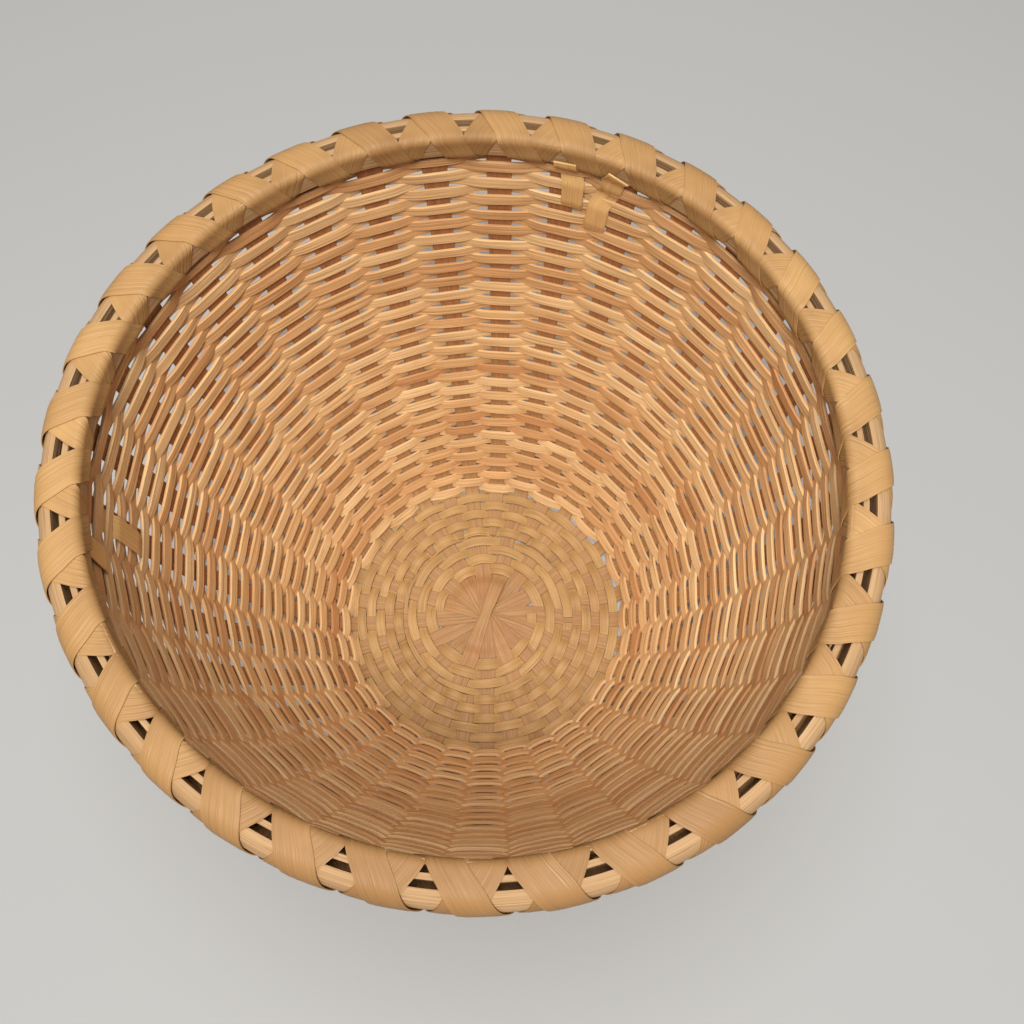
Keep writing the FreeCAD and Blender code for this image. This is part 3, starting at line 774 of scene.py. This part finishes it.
def lashing_wind(name, hand, start_gap, lift, seed):
    """Splint wound round the hoops once in every gap, lifted where it crosses the other."""
    wind_end = (STAKES - 1) * LASHED_LENGTH + WIND_END
    distance = np.linspace(WIND_START - CROSS_S, wind_end, STAKES * LASHING_STEPS)
    share = wind_share(distance)
    index = start_gap + 0.5 + hand * (0.5 + share)
    lean = np.arctan(STEP * RIM_STAKE_RADIUS * np.gradient(share, distance))
    wide = LASHING_WIDE * (1 + ripple(distance, seed, size=0.07, pace=0.03))
    past_cross = np.mod(distance + LASHED_LENGTH / 2, LASHED_LENGTH) - LASHED_LENGTH / 2
    past_foot = np.abs(past_cross) - LASHED_LENGTH / 2
    crossing = np.exp(-(past_cross / CROSS_TOP_REACH) ** 2) + np.exp(-(past_foot / CROSS_FOOT_REACH) ** 2)
    stand = LASHING_STAND + lift * (LASHING_THICK + CROSS_CLEAR) * np.clip(BETWEEN_LIFT + crossing, 0, 1)
    rings = []
    across = np.linspace(-1, 1, LASHING_FACETS)
    for face, shares in ((1, across), (-1, across[::-1])):
        for spot in shares:
            offset = spot * wide / 2
            point, outward = on_lashed(distance + CROSS_S - hand * offset * np.sin(lean))
            edge = 1 - EDGE_THIN * abs(spot) ** EDGE_POWER
            height = stand + LASHING_THICK / 2 * (1 + face * edge)
            rings.append(spin(point[:, 0] + outward[:, 0] * height, point[:, 1] + outward[:, 1] * height,
                              angle_of(index) - offset * np.cos(lean) / RIM_STAKE_RADIUS))
    # Painted shade: the lashing is tinted darker at the rim's near and far sides, most at the near side; it
    # is also darker all over, varies in tone at random, and is darker just below the inner top corner.
    facing = np.sin(angle_of(index))
    tone_and_painted_shade = DARKER_ALL_OVER + PAINTED_SHADE_FAR_AND_NEAR * facing ** 2 + PAINTED_SHADE_NEAR_ONLY * (1 - facing)
    tone_and_painted_shade += ripple(distance, LASHING_TONE_SEED + hand, size=0.07, pace=0.02)
    bend = np.exp(-((past_cross - INNER_TOP_S + CROSS_S + BEND_BELOW) / BEND_REACH) ** 2)
    tint = np.clip(tone_and_painted_shade + DARKER_BELOW_INNER_TOP * bend, 0, 1)
    lengths = distance * LASHING_SLANT
    return ring_mesh(name, np.stack(rings, axis=1), lengths, tint=tint, sharp=LASHING_SHARP)


def lashing_tail(name, stops):
    """Lashing's end tucked down the inside of the wall, in and out of its rows."""
    drops, indices, depths = (np.array(column) for column in zip(*stops))
    drop = np.linspace(drops[0], drops[-1], TAIL_POINTS)
    radius, height, up_r, up_z = wall_at(WEAVE_TOP + TAIL_ABOVE - drop)
    kinked = np.pad(np.interp(drop, drops, depths), TAIL_SMOOTH // 2, mode="edge")
    depth = np.convolve(kinked, np.ones(TAIL_SMOOTH) / TAIL_SMOOTH, mode="valid")
    angle = angle_of(np.interp(drop, drops, indices))
    centres = spin(radius - depth * up_z, height + depth * up_r, angle)
    sides = spin(1.0, 0.0, angle + math.pi / 2)
    size = np.ones(TAIL_POINTS)
    return strip_along(name, centres, sides, TAIL_WIDE * size, LASHING_THICK * size)


def lashing(node, hand, start_gap, lift, seed, tails):
    """Winding and its tucked ends, as one piece."""
    pieces = [lashing_wind("splint_" + node, hand, start_gap, lift, seed)]
    pieces += [lashing_tail(f"tail_{number}", stops) for number, stops in enumerate(tails, start=1)]
    dress(joined(pieces), node, LASHING_WOOD)


# Build every piece.

for order in range(SPOKES // 2):
    node = f"hub_splint_{order + 1}"
    dress(hub_splint("splint_" + node, order), node, STAKE_WOOD)
side_indices = [index for index in range(STAKES) if index % 2 == 1 or index >= 2 * SPOKES]
for number, index in enumerate(side_indices, start=1):
    node = f"side_stake_{number:02d}"
    dress(side_stake("splint_" + node, index), node, STAKE_WOOD)
for weaver in range(2):
    node = f"base_chase_weaver_{weaver + 1}"
    dress(chase_strip("splint_" + node, weaver), node, BASE_WOOD)
dress(outer_base_strip("splint_base_outer_weaver"), "base_outer_weaver", BASE_WOOD)

spiral_start = int((BASE_RADIUS - BASE_WIDE / 2 - CHASE_LAST) / BASE_ROW * STAKES) + 1
spiral_crossings = int(SPIRAL_LAPS[-1] * STAKES)
splices = []
for part in range(WALL_WEAVERS + 1):
    crossing = spiral_start + round(spiral_crossings * part / WALL_WEAVERS)
    splices.append(crossing + (crossing + 1) % 2)
for number, (first, last) in enumerate(zip(splices, splices[1:]), start=1):
    node = f"wall_weaver_{number:02d}"
    strip = spiral_strip("splint_" + node, first, last, spiral_start)
    dress(strip, node, WEAVER_WOODS[number * 2 % len(WEAVER_WOODS)])
dress(rim_row("splint_rim_weaver"), "rim_weaver", WEAVER_WOODS[1])

rim_rings = [
    ("outer_hoop", OUTER_HOOP, OUTER_HOOP_EASE),
    ("inner_hoop", INNER_HOOP, STRIP_EASE),
    ("rim_filler", FILLER, STRIP_EASE),
]
for seed, (node, corners, ease) in enumerate(rim_rings, start=1):
    dress(hoop("splint_" + node, corners, ease, seed), node, HOOP_WOOD)
lashing("lashing_under", hand=1, start_gap=26, lift=0.0, seed=UNDER_SEED, tails=UNDER_TAILS)
lashing("lashing_over", hand=-1, start_gap=16, lift=1.0, seed=OVER_SEED, tails=OVER_TAILS)


# Stage.

def floor(reach, colour, roughness):
    """Plain pale floor."""
    material = bpy.data.materials.new("floor_pale")
    material.use_nodes = True
    shader = material.node_tree.nodes["Principled BSDF"]
    shader.inputs["Base Color"].default_value = (*colour, 1.0)
    shader.inputs["Roughness"].default_value = roughness
    mesh = bpy.data.meshes.new("floor")
    corners = [(-reach, -reach, 0), (reach, -reach, 0), (reach, reach, 0), (-reach, reach, 0)]
    mesh.from_pydata(corners, [], [(0, 1, 2, 3)])
    plane = bpy.data.objects.new("floor", mesh)
    plane.data.materials.append(material)
    bpy.context.scene.collection.objects.link(plane)


def lamp(name, place, target, size, power, colour):
    """Round soft lamp that faces a point."""
    light = bpy.data.lights.new(name, "AREA")
    light.shape = "DISK"
    light.size = size
    light.energy = power
    light.color = colour
    holder = bpy.data.objects.new(name, light)
    holder.location = place
    holder.rotation_euler = (Vector(target) - Vector(place)).to_track_quat("-Z", "Y").to_euler()
    bpy.context.scene.collection.objects.link(holder)


def world(colour, strength, backdrop_colour):
    """Even light from all round, seen as a pale backdrop."""
    scene_world = bpy.data.worlds.new("studio")
    scene_world.use_nodes = True
    tree = scene_world.node_tree
    light = tree.nodes["Background"]
    light.inputs["Color"].default_value = (*colour, 1.0)
    light.inputs["Strength"].default_value = strength
    backdrop = tree.nodes.new("ShaderNodeBackground")
    backdrop.inputs["Color"].default_value = (*backdrop_colour, 1.0)
    rays = tree.nodes.new("ShaderNodeLightPath")
    seen = rays.outputs["Is Camera Ray"]
    for kind in ("Is Glossy Ray", "Is Transmission Ray"):
        either = tree.nodes.new("ShaderNodeMath")
        either.operation = "MAXIMUM"
        tree.links.new(seen, either.inputs[0])
        tree.links.new(rays.outputs[kind], either.inputs[1])
        seen = either.outputs["Value"]
    mix = tree.nodes.new("ShaderNodeMixShader")
    tree.links.new(seen, mix.inputs["Fac"])
    tree.links.new(light.outputs["Background"], mix.inputs[1])
    tree.links.new(backdrop.outputs["Background"], mix.inputs[2])
    tree.links.new(mix.outputs["Shader"], tree.nodes["World Output"].inputs["Surface"])
    bpy.context.scene.world = scene_world


def camera():
    """Camera of the photograph: its place over the rim's plane, its pitch, yaw and roll, and its framing."""
    rim_plane = 277.0
    eye_in_rims = Vector((0.13011, -0.9934, 2.5026))
    pitch, yaw, roll = math.radians(70.9), math.radians(-1.81), math.radians(-2.117)
    sensor, focal_pixels, frame_pixels = 36.0, 1150, 1024
    eye = eye_in_rims * RIM_RADIUS + Vector((0, 0, rim_plane))
    forward = Vector((math.sin(yaw) * math.cos(pitch), math.cos(yaw) * math.cos(pitch), -math.sin(pitch)))
    right = Vector((math.cos(yaw), -math.sin(yaw), 0.0))
    up = right.cross(forward)
    rolled_right = math.cos(roll) * right + math.sin(roll) * up
    rolled_up = -math.sin(roll) * right + math.cos(roll) * up
    data = bpy.data.cameras.new("camera")
    data.sensor_width = sensor
    data.lens = sensor * focal_pixels / frame_pixels
    data.shift_x = 0.0021
    data.shift_y = 0.0037
    data.clip_start = 0.01
    holder = bpy.data.objects.new("camera", data)
    axes = Matrix((rolled_right, rolled_up, -forward)).transposed()
    holder.matrix_world = Matrix.Translation(eye * MM) @ axes.to_4x4()
    bpy.context.scene.collection.objects.link(holder)
    bpy.context.scene.camera = holder


floor(reach=4.0, colour=(0.36, 0.36, 0.355), roughness=0.9)
world(colour=(0.95, 0.97, 1.0), strength=0.32, backdrop_colour=(0.62, 0.63, 0.64))
lamp("key", place=(-0.1, -0.75, 2.1), target=(0, 0.05, 0.1), size=0.6, power=48.0, colour=(1.0, 0.97, 0.93))
lamp("top", place=(0.0, 0.1, 1.9), target=(0, 0, 0.0), size=0.9, power=16.0, colour=(1.0, 0.99, 0.97))
camera()
bpy.context.scene.view_settings.view_transform = "Standard"
